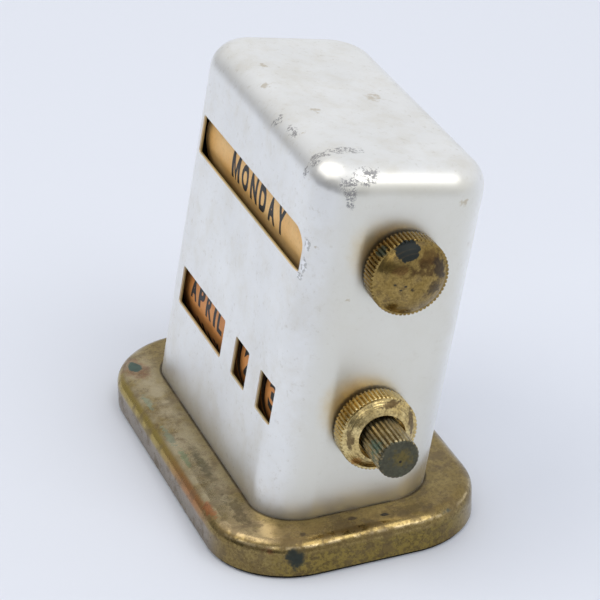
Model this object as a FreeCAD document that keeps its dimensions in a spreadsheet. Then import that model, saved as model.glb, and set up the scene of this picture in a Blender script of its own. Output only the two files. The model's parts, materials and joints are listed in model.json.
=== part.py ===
"""Desk calendar with four turning drums in a leaning sheet-metal housing.

Millimetres, +Z up, +X to the right as the calendar is read, -Y towards the reader.
The origin is the centre of the resting face. Everything above the base leans
back by one angle, so most pieces are drawn upright and placed in a leaning frame
whose own x runs across, y runs into the housing and z runs up its front face.
"""
import FreeCAD
import Part
import math
import os
import Sketcher

doc = FreeCAD.newDocument("DeskCalendar")

# ---------------------------------------------------------------- driving sizes
SIZES = {
    # base
    "base_side_margin": 7.0,
    "base_front_margin": 8.0,
    "base_top": 6.7,
    "base_corner": 14.6,
    "base_edge_round": 2.4,
    "tray_sheet": 1.0,
    "felt_thick": 0.6,
    "felt_inset": 0.5,
    "card_thick": 1.6,
    "card_clearance": 0.15,
    # housing
    "lean_angle": 11.0,
    "housing_width": 62.0,
    "housing_corner": 8.2,
    "housing_top_round": 4.9,
    "housing_sheet": 0.6,
    "lug_width": 4.0,
    "lug_corner_gap": 0.6,
    "lug_reach": 2.5,
    "lug_overlap": 1.0,
    "slot_clearance": 0.1,
    # room left round the drums inside the housing
    "drum_front_gap": 1.0,
    "corner_clearance": 0.62,
    "foot_room": 5.7,
    "drum_gap": 1.0,
    "top_room": 2.9,
    # windows: margins from the sides, widths and bars across, rise and drop about the axles
    "weekday_left_margin": 7.5,
    "weekday_right_margin": 6.0,
    "weekday_rise": 3.4,
    "weekday_drop": 3.6,
    "worn_corner": 3.2,
    "date_rise": 3.5,
    "date_drop": 3.6,
    "month_left_margin": 9.4,
    "units_right_margin": 6.4,
    "figure_window": 6.6,
    "window_bar": 5.5,
    "window_corner": 0.4,
    # each lower drum ends a little to the left of the next window
    "split_inset": 1.4,
    # frame that carries the axles
    "frame_sheet": 1.0,
    "frame_gap": 0.2,
    "frame_corner_gap": 0.2,
    "frame_head": 6.0,
    "screw_side_inset": 7.0,
    "screw_edge": 1.9,
    "screw_shank": 1.0,
    "screw_head": 1.9,
    "screw_head_thick": 1.2,
    "screw_proud": 0.6,
    "screw_slot_width": 0.475,
    "screw_slot_depth": 0.4,
    "screw_clearance": 0.15,
    # turning parts
    "rod_radius": 1.5,
    "sleeve_wall": 1.05,
    "running_clearance": 0.05,
    "bush_wall": 0.9,
    "bush_flange": 1.5,
    "bush_flange_thick": 0.5,
    "bush_proud": 0.15,
    "bush_clearance": 0.1,
    "drum_radius": 13.45,
    "drum_wall": 0.5,
    "drum_side_gap": 2.0,
    "label_thick": 0.15,
    "disc_thick": 0.8,
    "disc_inset": 0.6,
    "washer_thick": 0.25,
    "washer_rim": 2.2,
    "end_play": 0.1,
    "shaft_end_gap": 0.5,
    # knobs
    "knob_gap": 0.25,
    "knob_hub_thick": 0.2,
    "knob_hub_radius": 4.6,
    "rim_thick": 3.2,
    "rim_radius": 6.75,
    "rim_step": 0.12,
    "dome_height": 2.3,
    "ring_floor": 1.4,
    "pin_radius": 3.57,
    "pin_gap": 0.55,
    "pin_start": 0.3,
    "pin_length": 10.3,
    "pin_chamfer": 0.35,
    "ridge_count": 58,
    "ridge_depth": 0.36,
    "ridge_half_width": 0.26,
    "ridge_overcut": 0.06,
    "pin_ridge_count": 28,
    "socket_depth": 3.2,
    "pin_socket_depth": 4.8,
}


class Size:
    """A length that knows both its number and the sheet expression behind it."""

    def __init__(self, text, value):
        self.text = text
        self.value = value

    def __add__(self, other):
        other = as_size(other)
        return Size(f"({self.text} + {other.text})", self.value + other.value)

    def __sub__(self, other):
        other = as_size(other)
        return Size(f"({self.text} - {other.text})", self.value - other.value)

    def __mul__(self, other):
        other = as_size(other)
        return Size(f"({self.text} * {other.text})", self.value * other.value)

    def __truediv__(self, other):
        other = as_size(other)
        return Size(f"({self.text} / {other.text})", self.value / other.value)

    def __neg__(self):
        return Size(f"(0 - {self.text})", -self.value)


def as_size(number):
    """Wrap a plain number so that it can stand beside a named size."""
    return number if isinstance(number, Size) else Size(f"{number:g}", float(number))


def cosine(angle):
    return Size(f"cos({angle.text})", math.cos(math.radians(angle.value)))


def sine(angle):
    return Size(f"sin({angle.text})", math.sin(math.radians(angle.value)))


def root(area):
    return Size(f"sqrt({area.text})", math.sqrt(area.value))


def smaller(first, second):
    return Size(f"min({first.text}; {second.text})", min(first.value, second.value))


sheet = doc.addObject("Spreadsheet::Sheet", "Sizes")
for row, (alias, number) in enumerate(SIZES.items(), start=1):
    sheet.set(f"A{row}", alias)
    sheet.set(f"B{row}", str(number))
    sheet.setAlias(f"B{row}", alias)
doc.recompute()
S = {alias: Size(f"Sizes.{alias}", number) for alias, number in SIZES.items()}
ZERO = as_size(0)


# ---------------------------------------------------------------- worked-out sizes
# The drums set the depth and height of the housing, and the housing sets the base.
slope = sine(S["lean_angle"]) / cosine(S["lean_angle"])
label_radius = S["drum_radius"] + S["label_thick"]
sleeve_radius = S["rod_radius"] + S["running_clearance"] + S["sleeve_wall"]
housing_depth = (label_radius + S["drum_front_gap"] + S["housing_sheet"]) * 2
axle_depth = housing_depth / 2
lower_axle = S["foot_room"] + label_radius
upper_axle = lower_axle + label_radius * 2 + S["drum_gap"]
housing_front = upper_axle + label_radius + S["top_room"]

wall_outer = S["housing_width"] / 2
wall_inner = wall_outer - S["housing_sheet"]
foot_half = axle_depth / cosine(S["lean_angle"])
front_line = -foot_half
flat_half = foot_half - S["housing_corner"] / cosine(S["lean_angle"])
half_width = wall_outer + S["base_side_margin"]
half_depth = foot_half + S["base_front_margin"]
plate_under = S["base_top"] - S["tray_sheet"]
lug_middle = flat_half - S["lug_corner_gap"] - S["lug_width"] / 2
lug_rows = [-lug_middle, lug_middle]

# A drum ends where the rounded corner of the housing would come too close to it.
inner_corner = S["housing_corner"] - S["housing_sheet"]
corner_drop = inner_corner - S["drum_front_gap"] + S["corner_clearance"]
drum_end = (wall_outer - S["housing_corner"]
            + root(inner_corner * inner_corner - corner_drop * corner_drop))

units_right = wall_outer - S["units_right_margin"]
units_left = units_right - S["figure_window"]
tens_right = units_left - S["window_bar"]
tens_left = tens_right - S["figure_window"]
month_right = tens_left - S["window_bar"]
month_left = S["month_left_margin"] - wall_outer
half_gap = S["drum_side_gap"] / 2
units_split = units_left - S["split_inset"]
tens_split = tens_left - S["split_inset"]

frame_outer = wall_inner - S["frame_gap"]
frame_inner = frame_outer - S["frame_sheet"]
frame_near = S["housing_corner"] + S["frame_corner_gap"]
frame_far = housing_depth - frame_near
head_round = smaller(S["frame_head"], (frame_far - frame_near) / 2 - S["frame_corner_gap"])
screw_across = frame_inner - S["screw_side_inset"]
screw_along = foot_half - frame_near / cosine(S["lean_angle"]) - S["screw_edge"]
screw_places = [
    (across, along)
    for across in (-screw_across, screw_across)
    for along in (-screw_along, screw_along)
]

hub_start = wall_outer + S["bush_proud"] + S["knob_gap"]
rim_start = hub_start + S["knob_hub_thick"]
rim_end = rim_start + S["rim_thick"]
rim_inner = S["rim_radius"] - S["rim_step"]
pin_start = hub_start + S["ring_floor"] + S["pin_start"]
pin_end = pin_start + S["pin_length"]
blind_end = -(wall_outer - S["socket_depth"])


# ---------------------------------------------------------------- places
def lean_y(inward, up):
    """World y of a point `inward` from the front face and `up` along it."""
    return front_line + inward * cosine(S["lean_angle"]) + up * sine(S["lean_angle"])


def lean_z(inward, up):
    """World z of the same point."""
    return S["base_top"] + up * cosine(S["lean_angle"]) - inward * sine(S["lean_angle"])


def place(piece, x=ZERO, y=ZERO, z=ZERO, lean=False):
    """Bind a piece's placement to the sheet, upright or in the leaning frame."""
    turn = FreeCAD.Rotation(FreeCAD.Vector(1, 0, 0), -S["lean_angle"].value if lean else 0.0)
    piece.Placement = FreeCAD.Placement(FreeCAD.Vector(x.value, y.value, z.value), turn)
    if lean:
        piece.setExpression("Placement.Rotation.Angle", f"0 - {S['lean_angle'].text}")
    for letter, size in zip("xyz", (x, y, z)):
        piece.setExpression(f"Placement.Base.{letter}", size.text)


# ---------------------------------------------------------------- sketches
def origin_feature(body, role):
    return next(item for item in body.Origin.OriginFeatures if item.Role == role)


def new_sketch(body, name, role, height=ZERO):
    """A sketch on one of the body's origin planes, lifted along its normal."""
    sketch = body.newObject("Sketcher::SketchObject", name)
    sketch.AttachmentSupport = (origin_feature(body, role), [""])
    sketch.MapMode = "FlatFace"
    sketch.AttachmentOffset = FreeCAD.Placement(FreeCAD.Vector(0, 0, height.value), FreeCAD.Rotation())
    sketch.setExpression("AttachmentOffset.Base.z", height.text)
    return sketch


def arc_between(start, end, radius):
    """Arc that turns anticlockwise from start to end with the given radius."""
    chord = end - start
    half = chord.Length / 2
    rise = math.sqrt(max(radius * radius - half * half, 0.0))
    side = FreeCAD.Vector(-chord.y, chord.x, 0).normalize()
    centre = start + chord * 0.5 + side * rise
    circle = Part.Circle(centre, FreeCAD.Vector(0, 0, 1), radius)
    first = math.atan2(start.y - centre.y, start.x - centre.x)
    last = math.atan2(end.y - centre.y, end.x - centre.x)
    return Part.ArcOfCircle(circle, first, last)


def outline(sketch, corners):
    """Draw one closed outline, anticlockwise.

    A corner is (x, y), or (x, y, radius) where an arc of that radius arrives at it.
    Every corner and radius is bound to the sheet.
    """
    count = len(corners)
    at = [FreeCAD.Vector(corner[0].value, corner[1].value, 0) for corner in corners]
    first = sketch.GeometryCount
    for index in range(count):
        start, end = at[index], at[(index + 1) % count]
        arrival = corners[(index + 1) % count]
        if len(arrival) == 3:
            sketch.addGeometry(arc_between(start, end, arrival[2].value), False)
        else:
            sketch.addGeometry(Part.LineSegment(start, end), False)
    for index in range(count):
        link = ("Coincident", first + index, 2, first + (index + 1) % count, 1)
        sketch.addConstraint(Sketcher.Constraint(*link))
    for index, corner in enumerate(corners):
        for kind, size in (("DistanceX", corner[0]), ("DistanceY", corner[1])):
            rule = Sketcher.Constraint(kind, -1, 1, first + index, 1, size.value)
            sketch.setExpression(f"Constraints[{sketch.addConstraint(rule)}]", size.text)
        if len(corner) == 3:
            rule = Sketcher.Constraint("Radius", first + (index - 1) % count, corner[2].value)
            sketch.setExpression(f"Constraints[{sketch.addConstraint(rule)}]", corner[2].text)


def rectangle(left, right, low, high):
    return [(left, low), (right, low), (right, high), (left, high)]


def rounded_rectangle(left, right, low, high, corner, upper_right=None):
    """Rectangle with small round corners; the upper right one may be larger."""
    big = upper_right or corner
    return [
        (left + corner, low, corner), (right - corner, low), (right, low + corner, corner),
        (right, high - big), (right - big, high, big), (left + corner, high),
        (left, high - corner, corner), (left, low + corner),
    ]


# ---------------------------------------------------------------- features
def new_body(name):
    body = doc.addObject("PartDesign::Body", name)
    body.Label = name
    return body


def pad(body, name, sketch, length, midplane=False):
    feature = body.newObject("PartDesign::Pad", name)
    feature.Profile = sketch
    feature.SideType = "Symmetric" if midplane else "One side"
    feature.setExpression("Length", length.text)
    doc.recompute()
    return feature


def pocket(body, name, sketch, length=None, midplane=False, reverse=False):
    """Cut a sketch through, or to a length, and make sure that it did cut."""
    doc.recompute()
    before = body.Shape.Volume
    feature = body.newObject("PartDesign::Pocket", name)
    feature.Profile = sketch
    feature.Reversed = reverse
    feature.SideType = "Symmetric" if midplane else "One side"
    if length is None:
        feature.Type = "ThroughAll"
    else:
        feature.setExpression("Length", length.text)
    doc.recompute()
    if body.Shape.Volume > before - 1e-4:
        raise ValueError(f"{body.Label}: {name} cuts nothing")
    return feature


def edges_where(feature, rule):
    shape = feature.Shape
    return [f"Edge{index}" for index, edge in enumerate(shape.Edges, start=1) if rule(edge)]


def fillet(body, name, base, edges, radius):
    feature = body.newObject("PartDesign::Fillet", name)
    feature.Base = (base, edges)
    feature.setExpression("Radius", radius.text)
    doc.recompute()
    return feature


def is_upright(edge):
    box = edge.BoundBox
    return box.ZLength > 0.1 and box.XLength < 1e-6 and box.YLength < 1e-6


def hollow_from_below(body, name, base, sheet_thick):
    """Open the bottom face and leave a skin of one sheet inside the outline."""
    lowest = base.Shape.BoundBox.ZMin
    opened = [
        f"Face{index}" for index, face in enumerate(base.Shape.Faces, start=1)
        if face.BoundBox.ZMax < lowest + 1e-6
    ]
    feature = body.newObject("PartDesign::Thickness", name)
    feature.Base = (base, opened)
    feature.setExpression("Value", sheet_thick.text)
    doc.recompute()
    return feature


def turned(name, profile, upper=None):
    """A lathe-turned piece: a half section (x, radius) spun about its axle."""
    body = new_body(name)
    sketch = new_sketch(body, f"{name}_section", "XY_Plane")
    outline(sketch, profile)
    spin = body.newObject("PartDesign::Revolution", f"{name}_turned")
    spin.Profile = sketch
    spin.ReferenceAxis = (origin_feature(body, "X_Axis"), [""])
    spin.Angle = 360.0
    height = upper_axle if upper else lower_axle
    place(body, y=lean_y(axle_depth, height), z=lean_z(axle_depth, height), lean=True)
    doc.recompute()
    return body


def tube(name, left, right, inner, outer, upper=False):
    return turned(name, rectangle(left, right, inner, outer), upper)


def ridges(body, radius, count, face, length, outward):
    """Straight knurling: one V groove along the rim, repeated around it."""
    half = S["ridge_half_width"]
    mouth = radius + S["ridge_overcut"]
    sketch = new_sketch(body, f"{body.Label}_groove", "YZ_Plane", face)
    outline(sketch, [(ZERO, radius - S["ridge_depth"]), (half, mouth), (-half, mouth)])
    groove = pocket(body, f"{body.Label}_cut", sketch, length, reverse=not outward)
    repeat = body.newObject("PartDesign::PolarPattern", f"{body.Label}_ridges")
    repeat.Originals = [groove]
    repeat.Axis = (origin_feature(body, "X_Axis"), [""])
    repeat.Angle = 360.0
    repeat.setExpression("Occurrences", count.text)
    body.Tip = repeat
    doc.recompute()


# ---------------------------------------------------------------- base
def base_plate(name, inset, low, thick):
    """A flat plate with the base's outline, drawn in by an even margin."""
    body = new_body(name)
    sketch = new_sketch(body, f"{name}_outline", "XY_Plane", low)
    outline(sketch, rectangle(inset - half_width, half_width - inset,
                              inset - half_depth, half_depth - inset))
    plate = pad(body, f"{name}_plate", sketch, thick)
    rounded = fillet(body, f"{name}_corners", plate, edges_where(plate, is_upright),
                     S["base_corner"] - inset)
    return body, rounded


def circle_hole(sketch, x, y, radius):
    index = sketch.addGeometry(Part.Circle(FreeCAD.Vector(x.value, y.value, 0),
                                           FreeCAD.Vector(0, 0, 1), radius.value), False)
    for kind, size in (("DistanceX", x), ("DistanceY", y)):
        rule = Sketcher.Constraint(kind, -1, 1, index, 3, size.value)
        sketch.setExpression(f"Constraints[{sketch.addConstraint(rule)}]", size.text)
    rule = Sketcher.Constraint("Radius", index, radius.value)
    sketch.setExpression(f"Constraints[{sketch.addConstraint(rule)}]", radius.text)


def build_base():
    base_plate("base_felt", S["felt_inset"], ZERO, S["felt_thick"])
    base_plate("base_card", S["tray_sheet"] + S["card_clearance"], S["felt_thick"], S["card_thick"])

    tray, rounded = base_plate("base_tray", ZERO, S["felt_thick"], S["base_top"] - S["felt_thick"])
    top_edges = edges_where(rounded, lambda edge: edge.BoundBox.ZMin > S["base_top"].value - 1e-6)
    domed = fillet(tray, "tray_edge", rounded, top_edges, S["base_edge_round"])
    hollow_from_below(tray, "tray_skin", domed, S["tray_sheet"])
    holes = new_sketch(tray, "tray_holes", "XY_Plane", S["base_top"])
    for across, along in screw_places:
        circle_hole(holes, across, along, S["screw_shank"] + S["screw_clearance"])
    for side in (-1, 1):
        ends = sorted(((wall_inner - S["slot_clearance"]) * side,
                       (wall_outer + S["slot_clearance"]) * side), key=lambda end: end.value)
        for row in lug_rows:
            reach = S["lug_width"] / 2 + S["slot_clearance"]
            outline(holes, rectangle(ends[0], ends[1], row - reach, row + reach))
    pocket(tray, "tray_openings", holes, S["tray_sheet"] * 2)


# ---------------------------------------------------------------- housing
def bush_radius(bore):
    return bore + S["running_clearance"] + S["bush_wall"]


def build_housing():
    shell = new_body("housing_shell")
    plan = new_sketch(shell, "shell_plan", "XY_Plane")
    outline(plan, rectangle(-wall_outer, wall_outer, ZERO, housing_depth))
    block = pad(shell, "shell_block", plan, housing_front)
    sides = fillet(shell, "shell_sides", block, edges_where(block, is_upright), S["housing_corner"])
    top = edges_where(sides, lambda edge: edge.BoundBox.ZMin > housing_front.value - 1e-6)
    crown = fillet(shell, "shell_crown", sides, top, S["housing_top_round"])
    hollow_from_below(shell, "shell_skin", crown, S["housing_sheet"])

    # The foot is cut level, so that the leaning shell stands flat on the base.
    foot = new_sketch(shell, "shell_foot", "YZ_Plane")
    outline(foot, [(ZERO, ZERO), (housing_depth, ZERO), (housing_depth, housing_depth * slope)])
    pocket(shell, "shell_level", foot, midplane=True)

    windows = new_sketch(shell, "shell_windows", "XZ_Plane")
    corner = S["window_corner"]
    outline(windows, rounded_rectangle(
        S["weekday_left_margin"] - wall_outer, wall_outer - S["weekday_right_margin"],
        upper_axle - S["weekday_drop"], upper_axle + S["weekday_rise"], corner, S["worn_corner"]))
    for left_end, right_end in ((month_left, month_right), (tens_left, tens_right),
                                (units_left, units_right)):
        outline(windows, rounded_rectangle(left_end, right_end, lower_axle - S["date_drop"],
                                           lower_axle + S["date_rise"], corner))
    pocket(shell, "shell_window_cut", windows, S["housing_corner"] / 2)

    right = new_sketch(shell, "shell_right_holes", "YZ_Plane", wall_outer)
    circle_hole(right, axle_depth, upper_axle,
                bush_radius(S["rod_radius"]) + S["bush_clearance"])
    circle_hole(right, axle_depth, lower_axle,
                bush_radius(sleeve_radius) + S["bush_clearance"])
    pocket(shell, "shell_right_cut", right, S["housing_sheet"] * 2)
    left = new_sketch(shell, "shell_left_hole", "YZ_Plane", -wall_outer)
    circle_hole(left, axle_depth, lower_axle,
                bush_radius(sleeve_radius) + S["bush_clearance"])
    pocket(shell, "shell_left_cut", left, S["housing_sheet"] * 2, reverse=True)
    place(shell, y=front_line, z=S["base_top"], lean=True)

    # Lugs run down through the base and are bent in below it.
    pieces = [shell]
    lug_low = plate_under - S["housing_sheet"]
    for side, word in ((-1, "left"), (1, "right")):
        for row, place_word in zip(lug_rows, ("front", "rear")):
            blade = doc.addObject("Part::Box", f"lug_{word}_{place_word}_blade")
            blade.setExpression("Length", S["housing_sheet"].text)
            blade.setExpression("Width", S["lug_width"].text)
            blade.setExpression("Height", (S["base_top"] + S["lug_overlap"] - lug_low).text)
            inner_edge = wall_inner if side > 0 else -wall_outer
            place(blade, x=inner_edge, y=row - S["lug_width"] / 2, z=lug_low)
            hook = doc.addObject("Part::Box", f"lug_{word}_{place_word}_hook")
            hook.setExpression("Length", S["lug_reach"].text)
            hook.setExpression("Width", S["lug_width"].text)
            hook.setExpression("Height", S["housing_sheet"].text)
            hook_edge = wall_outer - S["lug_reach"] if side > 0 else -wall_outer
            place(hook, x=hook_edge, y=row - S["lug_width"] / 2, z=lug_low)
            pieces += [blade, hook]
    housing = doc.addObject("Part::MultiFuse", "housing")
    housing.Shapes = pieces
    housing.Refine = True


# ---------------------------------------------------------------- frame
def build_frame():
    frame = new_body("drum_frame")
    side = new_sketch(frame, "frame_side", "YZ_Plane")
    near, far = frame_near, frame_far
    head = upper_axle + S["frame_head"]
    outline(side, [
        (lean_y(near, near * slope), S["base_top"]), (lean_y(far, far * slope), S["base_top"]),
        (lean_y(far, head), lean_z(far, head)), (lean_y(near, head), lean_z(near, head)),
    ])
    block = pad(frame, "frame_block", side, frame_outer * 2, midplane=True)
    head_edges = edges_where(block, lambda edge: edge.BoundBox.XLength > frame_outer.value
                             and edge.BoundBox.ZMin > S["base_top"].value + 1.0)
    fillet(frame, "frame_heads", block, head_edges, head_round)
    gap = new_sketch(frame, "frame_gap_outline", "XZ_Plane")
    outline(gap, rectangle(-frame_inner, frame_inner, S["base_top"] + S["frame_sheet"],
                           housing_front * 2))
    pocket(frame, "frame_gap_cut", gap, midplane=True)
    bores = new_sketch(frame, "frame_bores", "YZ_Plane")
    for height, bore in ((upper_axle, S["rod_radius"]), (lower_axle, sleeve_radius)):
        circle_hole(bores, lean_y(axle_depth, height), lean_z(axle_depth, height),
                    bush_radius(bore))
    pocket(frame, "frame_bore_cut", bores, midplane=True)
    taps = new_sketch(frame, "frame_taps", "XY_Plane", S["base_top"] + S["frame_sheet"])
    for across, along in screw_places:
        circle_hole(taps, across, along, S["screw_shank"])
    pocket(frame, "frame_tap_cut", taps, S["frame_sheet"] * 2)

    screws = []
    for number, (across, along) in enumerate(screw_places, start=1):
        shank = doc.addObject("Part::Cylinder", f"screw_shank_{number}")
        shank.setExpression("Radius", S["screw_shank"].text)
        shank.setExpression("Height", (S["tray_sheet"] + S["frame_sheet"] + S["screw_proud"]).text)
        place(shank, across, along, plate_under)
        head_disc = doc.addObject("Part::Cylinder", f"screw_head_{number}")
        head_disc.setExpression("Radius", S["screw_head"].text)
        head_disc.setExpression("Height", S["screw_head_thick"].text)
        place(head_disc, across, along, plate_under - S["screw_head_thick"])
        slot = doc.addObject("Part::Box", f"screw_slot_{number}")
        slot.setExpression("Length", (S["screw_head"] * 2).text)
        slot.setExpression("Width", S["screw_slot_width"].text)
        slot.setExpression("Height", S["screw_slot_depth"].text)
        place(slot, across - S["screw_head"], along - S["screw_slot_width"] / 2,
              plate_under - S["screw_head_thick"])
        turned_screw = doc.addObject("Part::Fuse", f"screw_turned_{number}")
        turned_screw.Base, turned_screw.Tool = shank, head_disc
        screw = doc.addObject("Part::Cut", f"screw_{number}")
        screw.Base, screw.Tool = turned_screw, slot
        screws.append(screw)
    group = doc.addObject("Part::Compound", "frame_screws")
    group.Links = screws


def build_bush(name, side, bore_of, upper):
    """A flanged bearing pushed through one cheek of the frame from inside."""
    bore = bore_of + S["running_clearance"]
    outer = bush_radius(bore_of)
    flange = outer + S["bush_flange"]
    inside = frame_inner - S["bush_flange_thick"]
    blind = upper and side < 0
    end = frame_outer if blind else wall_outer + S["bush_proud"]
    if side > 0:
        section = [(inside, bore), (end, bore), (end, outer), (frame_inner, outer),
                   (frame_inner, flange), (inside, flange)]
    else:
        section = [(-end, bore), (-inside, bore), (-inside, flange), (-frame_inner, flange),
                   (-frame_inner, outer), (-end, outer)]
    turned(name, section, upper)


# ---------------------------------------------------------------- drums
def build_drum(name, left, right, axle_radius, upper=False):
    """A drum wall, its printed band and the two discs that centre it."""
    drum_inner = S["drum_radius"] - S["drum_wall"]
    tube(f"{name}_drum", left, right, drum_inner, S["drum_radius"], upper)
    tube(f"{name}_label", left, right, S["drum_radius"],
         S["drum_radius"] + S["label_thick"], upper)
    inset, thick = S["disc_inset"], S["disc_thick"]
    tube(f"{name}_left_disc", left + inset, left + inset + thick, axle_radius, drum_inner, upper)
    tube(f"{name}_right_disc", right - inset - thick, right - inset, axle_radius, drum_inner, upper)


def build_washer(name, disc_face, bush_face, axle_radius, upper=False):
    """A dished spring washer that brakes a drum against its bush."""
    bore = axle_radius + S["end_play"]
    rim = axle_radius + S["washer_rim"]
    thick = S["washer_thick"]
    if bush_face.value > disc_face.value:
        section = [(disc_face, bore), (disc_face + thick, bore), (bush_face, rim - thick),
                   (bush_face, rim), (bush_face - thick, rim)]
    else:
        section = [(disc_face - thick, bore), (disc_face, bore), (bush_face + thick, rim),
                   (bush_face, rim), (bush_face, rim - thick)]
    turned(name, section, upper)


# ---------------------------------------------------------------- knobs
dome_reach = S["rim_radius"] - S["ridge_depth"] - S["rim_step"]
dome_radius = (dome_reach * dome_reach / S["dome_height"] + S["dome_height"]) / 2


def build_domed_knob(name, side, axle_radius, upper):
    """A pressed-on knob with a ridged rim and a low dome."""
    socket = hub_start + S["socket_depth"]
    crown = rim_end + S["dome_height"]
    if side > 0:
        section = [(hub_start, axle_radius), (socket, axle_radius), (socket, ZERO), (crown, ZERO),
                   (rim_end, dome_reach, dome_radius), (rim_end, rim_inner),
                   (rim_end - S["rim_step"], S["rim_radius"]), (rim_start, S["rim_radius"]),
                   (rim_start, S["knob_hub_radius"]), (hub_start, S["knob_hub_radius"])]
    else:
        section = [(-crown, ZERO, dome_radius), (-socket, ZERO), (-socket, axle_radius),
                   (-hub_start, axle_radius), (-hub_start, S["knob_hub_radius"]),
                   (-rim_start, S["knob_hub_radius"]), (-rim_start, S["rim_radius"]),
                   (-rim_end + S["rim_step"], S["rim_radius"]), (-rim_end, rim_inner),
                   (-rim_end, dome_reach)]
    knob = turned(name, section, upper)
    face = rim_end if side > 0 else -rim_end
    ridges(knob, S["rim_radius"], S["ridge_count"], face, S["rim_thick"], side > 0)


def build_ring_knob():
    """The outer knob of the pair: the same blank, bored out for the pin knob."""
    floor = hub_start + S["ring_floor"]
    bore = S["pin_radius"] + S["pin_gap"]
    lip = rim_end + S["dome_height"] - dome_radius + root(dome_radius * dome_radius - bore * bore)
    knob = turned("units_knob", [
        (hub_start, sleeve_radius), (floor, sleeve_radius), (floor, bore), (lip, bore),
        (rim_end, dome_reach, dome_radius), (rim_end, rim_inner),
        (rim_end - S["rim_step"], S["rim_radius"]), (rim_start, S["rim_radius"]),
        (rim_start, S["knob_hub_radius"]), (hub_start, S["knob_hub_radius"]),
    ])
    ridges(knob, S["rim_radius"], S["ridge_count"], rim_end, S["rim_thick"], True)


def build_pin_knob():
    """The inner knob of the pair: a slim ridged pin that stands out of the ring."""
    chamfer = S["pin_chamfer"]
    socket = pin_start + S["pin_socket_depth"]
    knob = turned("tens_knob", [
        (pin_start, S["rod_radius"]), (socket, S["rod_radius"]), (socket, ZERO),
        (pin_end, ZERO), (pin_end, S["pin_radius"] - chamfer),
        (pin_end - chamfer, S["pin_radius"]), (pin_start, S["pin_radius"]),
    ])
    ridges(knob, S["pin_radius"], S["pin_ridge_count"], pin_end, S["pin_length"], True)


# ---------------------------------------------------------------- drum trains
right_bush_face = frame_inner - S["bush_flange_thick"] - S["end_play"]


def build_weekday():
    rod = S["rod_radius"]
    build_drum("weekday", -drum_end, drum_end, rod, upper=True)
    tube("weekday_shaft", -frame_outer, hub_start + S["socket_depth"], ZERO, rod, True)
    build_washer("weekday_spring_washer", drum_end - S["disc_inset"], right_bush_face, rod, True)
    tube("weekday_collar", -right_bush_face, S["disc_inset"] - drum_end, rod, rod * 2, True)
    build_domed_knob("weekday_knob", 1, rod, True)


def build_month():
    right = tens_split - half_gap
    shaft_right = right - S["disc_inset"]
    bore = S["rod_radius"] + S["running_clearance"]
    knob_end = -(hub_start + S["socket_depth"])
    build_drum("month", -drum_end, right, sleeve_radius)
    turned("month_shaft", [
        (knob_end, ZERO), (blind_end, ZERO), (blind_end, bore), (shaft_right, bore),
        (shaft_right, sleeve_radius), (knob_end, sleeve_radius),
    ])
    build_washer("month_spring_washer", S["disc_inset"] - drum_end, -right_bush_face, sleeve_radius)
    build_domed_knob("month_knob", -1, sleeve_radius, False)


def build_tens():
    build_drum("tens", tens_split + half_gap, units_split - half_gap, S["rod_radius"])
    tube("tens_shaft", blind_end + S["shaft_end_gap"], pin_start + S["pin_socket_depth"], ZERO,
         S["rod_radius"])
    build_pin_knob()


def build_units():
    left = units_split + half_gap
    build_drum("units", left, drum_end, sleeve_radius)
    tube("units_sleeve", left + S["disc_inset"], hub_start + S["ring_floor"],
         S["rod_radius"] + S["running_clearance"], sleeve_radius)
    build_washer("units_spring_washer", drum_end - S["disc_inset"], right_bush_face, sleeve_radius)
    build_ring_knob()


build_base()
build_housing()
build_frame()
build_bush("upper_left_bush", -1, S["rod_radius"], True)
build_bush("upper_right_bush", 1, S["rod_radius"], True)
build_bush("lower_left_bush", -1, sleeve_radius, False)
build_bush("lower_right_bush", 1, sleeve_radius, False)
build_weekday()
build_month()
build_tens()
build_units()
doc.recompute()

# ---------------------------------------------------------------- check and write
DRUM_PIECES = ("drum", "label", "left_disc", "right_disc")
NODES = [
    "base_felt", "base_card", "base_tray", "housing", "drum_frame", "frame_screws",
    "upper_left_bush", "upper_right_bush", "lower_left_bush", "lower_right_bush",
    *(f"{drum}_{piece}" for drum in ("weekday", "month", "tens", "units")
      for piece in DRUM_PIECES),
    "weekday_shaft", "weekday_collar", "weekday_spring_washer", "weekday_knob",
    "month_shaft", "month_spring_washer", "month_knob",
    "tens_shaft", "tens_knob",
    "units_sleeve", "units_spring_washer", "units_knob",
]

for item in doc.Objects:
    if "Invalid" in item.State or "Error" in item.State:
        raise ValueError(f"{item.Label} failed: {item.State}")
os.makedirs("parts", exist_ok=True)
for node in NODES:
    piece = doc.getObject(node)
    shape = piece.Shape
    if shape.isNull() or not shape.isValid():
        raise ValueError(f"{node} has no valid shape")
    shape.exportStep(os.path.join("parts", f"{node}.step"))
print(f"{len(NODES)} nodes written")
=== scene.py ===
"""Looks of a drum desk calendar: satin aluminium housing, aged brass base and knobs, printed drums.

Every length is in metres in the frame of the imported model. Places are worked out from the
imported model's own boxes and joints, or named here once in millimetres.
"""

import json
import logging
import math
from dataclasses import dataclass, field
from enum import Enum
from typing import Sequence

import bpy
from mathutils import Matrix, Vector


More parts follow.
